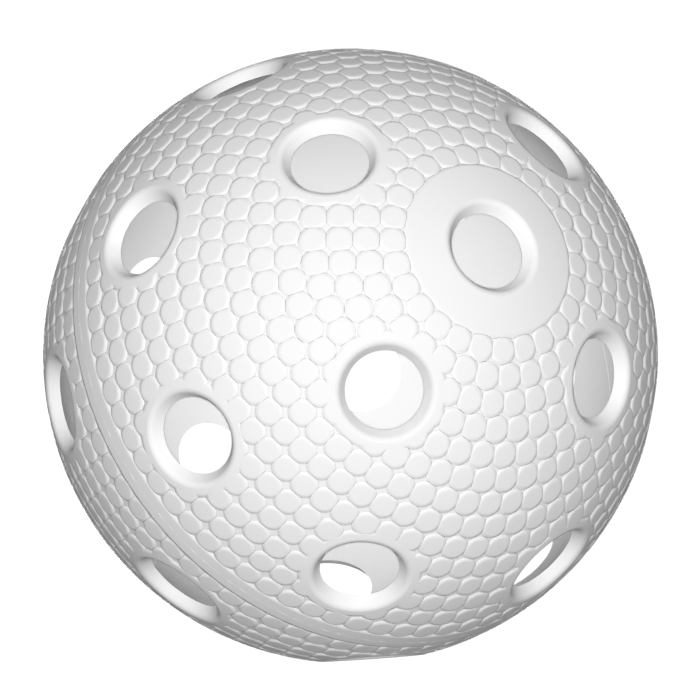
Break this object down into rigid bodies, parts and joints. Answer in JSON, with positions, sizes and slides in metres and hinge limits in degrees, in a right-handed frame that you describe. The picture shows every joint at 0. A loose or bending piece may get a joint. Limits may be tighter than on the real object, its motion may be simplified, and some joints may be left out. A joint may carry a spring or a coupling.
{
  "type": "floorball",
  "caption": "Hollow perforated plastic ball: like half shells keyed and welded at the equator, with rounded holes and smooth raised rims, rolled and struck in floorball.",
  "frame": {"origin": "the middle of the ball", "axes": "+Z through the pole holes, out of the upper half; half a turn about X puts either half in the other's place"},
  "size_m": [0.072, 0.072, 0.071],
  "materials": {
    "shell_plastic": "satin moulded white polyethylene",
    "weld_plastic": "fused white polyethylene"
  },
  "bodies": {
    "root": {"upper_half_shell": "shell_plastic", "lower_half_shell": "shell_plastic", "weld_ring": "weld_plastic"}
  },
  "joints": []
}
